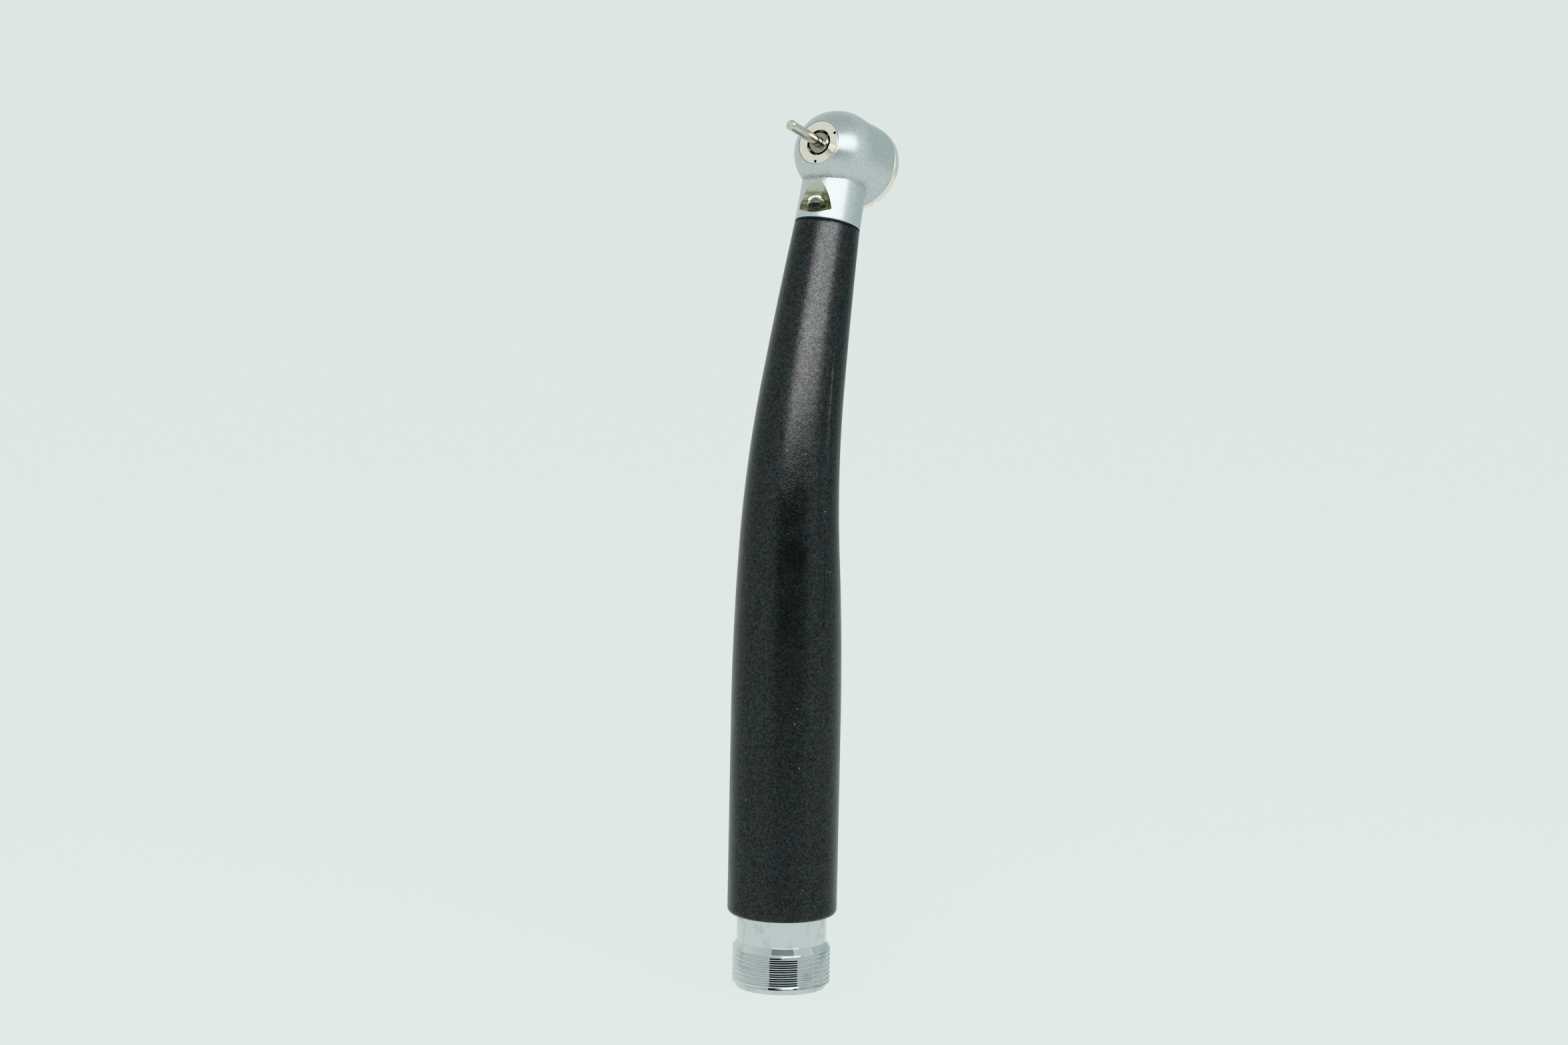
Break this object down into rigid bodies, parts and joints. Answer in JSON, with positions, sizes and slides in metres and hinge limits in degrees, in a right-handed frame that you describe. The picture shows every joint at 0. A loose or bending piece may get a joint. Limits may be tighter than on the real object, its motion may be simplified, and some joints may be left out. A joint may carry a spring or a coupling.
{
  "type": "high speed dental handpiece",
  "caption": "High speed dental handpiece: air turbine head with a push-button bur chuck, light window, tapered fluted grip and threaded hose connector.",
  "frame": {"origin": "centre of the hose gasket's face, on the connector's axis, 4.5 mm above the rim that the handpiece stands on", "axes": "+Z along the connector's axis towards the head; the neck leans towards +X and the bur points away from it, towards -X"},
  "size_m": [0.0295, 0.017, 0.1354],
  "materials": {
    "satin_chrome": "satin, bead-blasted under the plating",
    "bright_chrome": "polished",
    "warm_nickel": "polished, slightly warm",
    "black_anodised": "satin black anodised with a fine sparkle",
    "dark_seal": "smooth",
    "tool_steel": "fine ground",
    "steel": "plain",
    "brass": "plain",
    "copper_winding": "enamelled copper wire",
    "iron_core": "dull",
    "impeller_black": "black anodised",
    "rubber_black": "smooth",
    "rubber_grey": "smooth",
    "cage_plastic": "phenolic",
    "ceramic_ball": "polished ceramic",
    "lens_glass": "clear",
    "board_green": "solder mask",
    "wire_red": "insulated",
    "wire_black": "insulated"
  },
  "bodies": {
    "handpiece": {"grip_sleeve": "black_anodised", "neck_seal_ring": "dark_seal", "head_shell": "satin_chrome", "front_ring": "warm_nickel", "back_cap": "warm_nickel", "front_o_ring": "rubber_black", "rear_o_ring": "rubber_black", "preload_washer": "steel", "front_bearing_outer": "steel", "rear_bearing_outer": "steel", "led_lens": "lens_glass", "led_board": "board_green", "led_lead_positive": "wire_red", "led_lead_negative": "wire_black", "drive_air_tube": "brass", "water_tube": "steel", "chip_air_tube": "steel", "water_check_valve": "brass", "connector_body": "bright_chrome", "connector_o_ring": "rubber_black", "hose_gasket": "rubber_grey", "drive_air_spigot": "steel", "exhaust_spigot": "steel", "water_spigot": "steel", "chip_air_spigot": "steel", "generator_housing": "steel", "generator_rear_bush": "brass", "generator_front_bush": "brass", "stator_coil": "copper_winding", "stator_core": "iron_core", "generator_outlet_cap": "steel"},
    "rotor": {"spindle": "tool_steel", "impeller": "impeller_black", "chuck_collet": "tool_steel", "front_bearing_inner": "steel", "rear_bearing_inner": "steel"},
    "front_ball_cage": {"front_cage": "cage_plastic", "front_ball_1": "ceramic_ball", "front_ball_2": "ceramic_ball", "front_ball_3": "ceramic_ball", "front_ball_4": "ceramic_ball", "front_ball_5": "ceramic_ball", "front_ball_6": "ceramic_ball", "front_ball_7": "ceramic_ball"},
    "rear_ball_cage": {"rear_cage": "cage_plastic", "rear_ball_1": "ceramic_ball", "rear_ball_2": "ceramic_ball", "rear_ball_3": "ceramic_ball", "rear_ball_4": "ceramic_ball", "rear_ball_5": "ceramic_ball", "rear_ball_6": "ceramic_ball", "rear_ball_7": "ceramic_ball"},
    "bur_blank": {"bur": "tool_steel"},
    "button": {"push_button": "satin_chrome", "button_spring": "steel"},
    "generator_rotor": {"generator_shaft": "steel", "magnet_rotor": "iron_core", "generator_vane": "brass"}
  },
  "joints": [
    {"name": "rotor_spin", "type": "hinge", "parent": "handpiece", "child": "rotor", "pos_m": [0.01225, 0, 0.12404], "axis": [0.9636, 0, -0.2672], "continuous": true},
    {"name": "front_cage_spin", "type": "hinge", "parent": "handpiece", "child": "front_ball_cage", "pos_m": [0.01225, 0, 0.12404], "axis": [0.9636, 0, -0.2672], "continuous": true},
    {"name": "rear_cage_spin", "type": "hinge", "parent": "handpiece", "child": "rear_ball_cage", "pos_m": [0.01225, 0, 0.12404], "axis": [0.9636, 0, -0.2672], "continuous": true},
    {"name": "bur_slide", "type": "slide", "parent": "rotor", "child": "bur_blank", "axis": [-0.9636, 0, 0.2672], "range_m": [0, 0.02]},
    {"name": "button_press", "type": "slide", "parent": "handpiece", "child": "button", "axis": [-0.9636, 0, 0.2672], "range_m": [0, 0.00065], "stiffness_N_per_m": 15000, "deforming": ["button_spring"]},
    {"name": "generator_spin", "type": "hinge", "parent": "handpiece", "child": "generator_rotor", "pos_m": [0, 0, 0.0365], "axis": [0, 0, 1], "continuous": true}
  ],
  "couplings": [
    {"joint": "front_cage_spin", "follows": "rotor_spin", "ratio": 0.395},
    {"joint": "rear_cage_spin", "follows": "rotor_spin", "ratio": 0.395}
  ]
}
